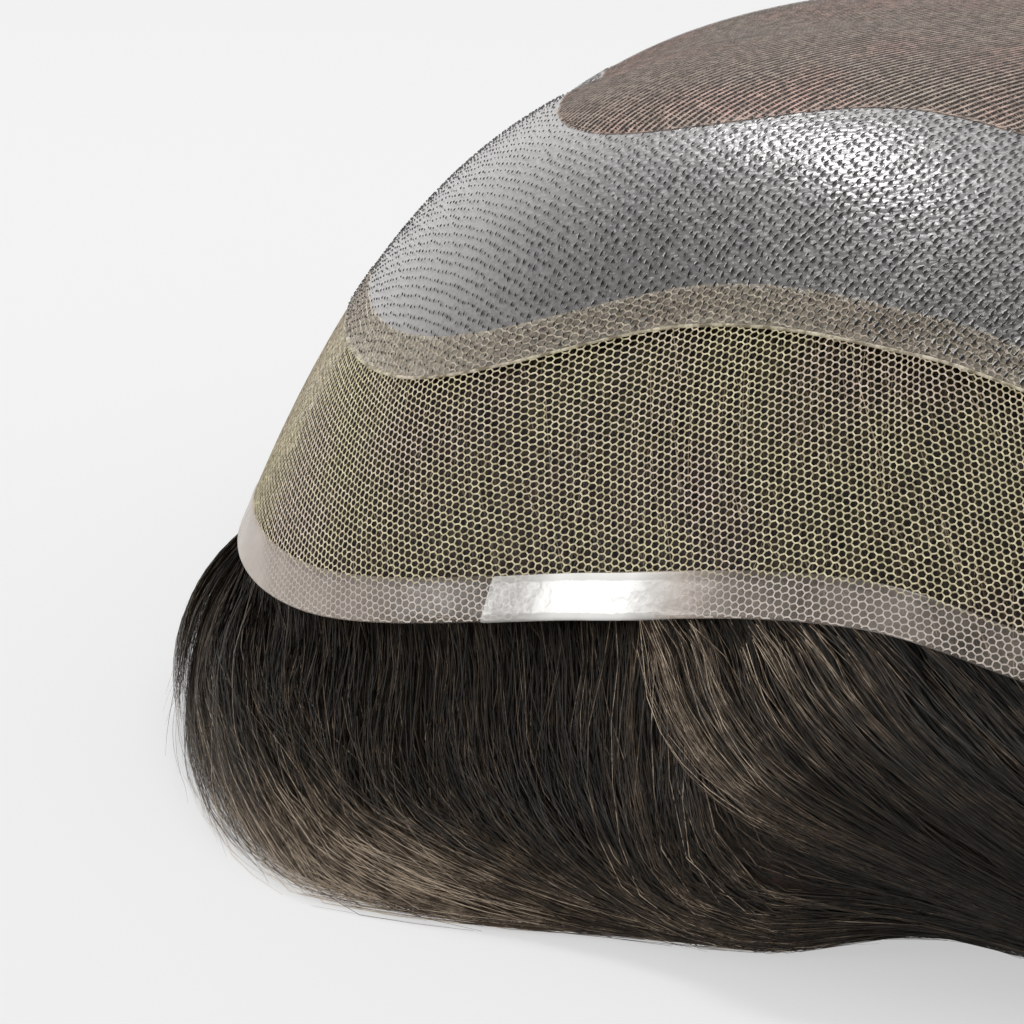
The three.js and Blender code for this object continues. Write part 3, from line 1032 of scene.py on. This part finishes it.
def lock_strands(name, count, seed):
    """Broad locks that sweep round over the even layers and end above the floor."""
    rng = np.random.default_rng(seed)
    left, across = np.array(lock_places(rng)).T
    locks = len(left)
    fullness = crowd(left) * across
    which = rng.choice(locks, size=count, p=fullness / fullness.sum())
    u = rng.uniform(0, 1, count) ** 1.2
    root = left[which] + across[which] * u
    turned = rng.normal(0, 2.0, locks)[which] + rng.normal(0, 2.2, count) - 7 * u
    length = rng.uniform(30, 38, locks)[which] * rng.uniform(0.7, 1.1, count)
    crown = np.sin(np.pi * np.clip(u * 0.8 + 0.12, 0, 1))[:, None]
    lift = 0.2 + 1.4 * crown * np.sin(np.pi * np.clip(ALONG * 0.85, 0, 1))
    lift = lift - rng.uniform(0, 1.2, (count, 1)) ** 2
    # Painted highlight: strands along each lock's left edge are lighter
    painted_edge_highlight = 0.36 * np.exp(-u / 0.14)
    tone = tones(rng, count, rng.normal(0.27, 0.08, locks)[which] + painted_edge_highlight)
    shade = np.clip(tone[:, None] + 0.12 * ALONG**2, DARKEST, 1)
    start = rng.uniform(0, 1.0, count)
    width = strand_widths(rng, root)
    return strands(name, root, start, length, lock_lean, turned, lift, width, shade, rng)


keep(base_strands("hair_fall_inner", 3900, (1.4, 3.0), (44, 62), 11), "hair")
keep(base_strands("hair_fall_middle", 6500, (0.6, 1.9), (40, 58), 12), "hair")
keep(base_strands("hair_fall_outer", 5500, (0.2, 1.0), (36, 54), 13), "hair")
keep(lock_strands("hair_locks", 5500, 14), "hair")


LIGHT_SPOTS = np.array([-40.0, -36.0, -31.0, -27.0, -23.0, -18.0, -12.0, -5.0, 30.0, 80.0, 130.0, 180.0])


def fine_light_hairs(name, count, seed):
    """Fine light hairs over the locks, from a few places round the edge."""
    rng = np.random.default_rng(seed)
    which = rng.integers(0, len(LIGHT_SPOTS), count)
    offset = np.abs(rng.normal(0, 1.6, count))
    root = LIGHT_SPOTS[which] + offset
    turned = rng.normal(0, 2.5, count) - offset
    length = rng.uniform(20, 38, count)
    lift = 1.3 + rng.uniform(-0.4, 0.5, (count, 1)) + 0.4 * np.sin(np.pi * ALONG)
    shade = rng.uniform(0.55, 1.0, (count, 1)) * (1 - 0.3 * ALONG)
    width = rng.uniform(0.03, 0.05, count)
    start = rng.uniform(0.2, 3, count)
    return strands(name, root, start, length, lock_lean, turned, lift, width, shade, rng)


keep(fine_light_hairs("hair_light", 420, 16), "hair")


def loose_hairs(count, seed):
    """Single hairs that stand off the fall."""
    rng = np.random.default_rng(seed)
    root = rng.uniform(-180, 180, count)
    turned = rng.normal(0, 6, count)
    length = rng.uniform(16, 34, count)
    lift = 0.4 + rng.uniform(0.0, 1.6, (count, 1)) * ALONG**1.5
    shade = rng.uniform(0.3, 0.75, count)[:, None]
    width = rng.uniform(0.03, 0.055, count)
    start = rng.uniform(1, 12, count)
    return strands("hair_loose", root, start, length, layer_lean, turned, lift, width, shade, rng)


keep(loose_hairs(500, 15), "hair")


UNDER_STATIONS = 4


def under_strands(count, seed):
    """Hair that lies against the inside of the net."""
    rng = np.random.default_rng(seed)
    f = np.linspace(0, 1, UNDER_STATIONS)[None, :]
    angle = rng.uniform(0, 360, count)[:, None]
    distance = rng.uniform(0, 24, count)[:, None]
    length = rng.uniform(6, 14, (count, 1))
    swing = rng.normal(25, 14, (count, 1))
    run = np.clip(distance + length * (0.5 - f), 0.3, None)
    angle = angle + swing * length / 60 * f
    points, normals = from_edge(angle, run, -rng.uniform(0.35, 1.1, (count, 1)))
    shade = np.clip(rng.normal(0.45, 0.2, (count, 1)), DARKEST, 1)
    return ribbon_mesh("hair_under_net", points, normals, 0.08, hair_finish, {"shade": shade})


keep(under_strands(3500, 21), "hair")


# Floor, light and camera


def floor_material():
    """Plain pale floor that keeps some light in its shadows."""
    n = Nodes("floor")
    matt = n.add(
        "ShaderNodeBsdfPrincipled",
        {"Base Color": (0.8, 0.8, 0.8, 1), "Roughness": 0.9, "Specular IOR Level": 0.1},
    )
    glow = n.add("ShaderNodeEmission", {"Color": (0.845, 0.845, 0.845, 1), "Strength": 1.0})
    mixed = n.add("ShaderNodeMixShader", {0: 0.6, 1: matt.outputs[0], 2: glow.outputs[0]})
    return n.surface(mixed.outputs[0])


bpy.ops.mesh.primitive_plane_add(size=6, location=(0, 0, 0))
floor = bpy.context.object
floor.name = "floor"
floor.data.materials.append(floor_material())

world = bpy.data.worlds.new("studio")
world.use_nodes = True
world.node_tree.nodes["Background"].inputs["Color"].default_value = (1, 1, 1, 1)
world.node_tree.nodes["Background"].inputs["Strength"].default_value = 0.74
bpy.context.scene.world = world
bpy.context.scene.view_settings.view_transform = "Standard"


def softbox(name, azimuth, elevation, distance, size, power, aim):
    """An area light seen from aim in a direction, azimuth from the front towards +X."""
    a, e = math.radians(azimuth), math.radians(elevation)
    way = Vector((math.sin(a) * math.cos(e), -math.cos(a) * math.cos(e), math.sin(e)))
    light = bpy.data.lights.new(name, "AREA")
    light.shape = "RECTANGLE"
    light.size, light.size_y = size
    light.energy = power
    lamp = bpy.data.objects.new(name, light)
    lamp.location = Vector(aim) + way * distance
    lamp.rotation_euler = way.to_track_quat("Z", "Y").to_euler()
    bpy.context.scene.collection.objects.link(lamp)


softbox("overhead", -168, 63, 0.7, (0.13, 0.13), 2.2, (-0.024, -0.053, 0.055))
softbox("left_window", -77, 17, 0.8, (0.2, 0.14), 1.4, (-0.045, -0.068, 0.024))

VIEW_CENTRE = Vector((-50.66, -11.06 + CROWN_Y, 20.91)) * MM
VIEW_DISTANCE = 451.2 * MM
VIEW_ELEVATION = math.radians(16)
LENS = 189.0
camera_data = bpy.data.cameras.new("camera")
camera_data.lens = LENS
camera_data.sensor_width = 36
camera_data.clip_start = 0.02
camera = bpy.data.objects.new("camera", camera_data)
back = Vector((0, -math.cos(VIEW_ELEVATION), math.sin(VIEW_ELEVATION)))
camera.location = VIEW_CENTRE + back * VIEW_DISTANCE
camera.rotation_euler = back.to_track_quat("Z", "Y").to_euler()
bpy.context.scene.collection.objects.link(camera)
bpy.context.scene.camera = camera

bpy.context.view_layer.update()
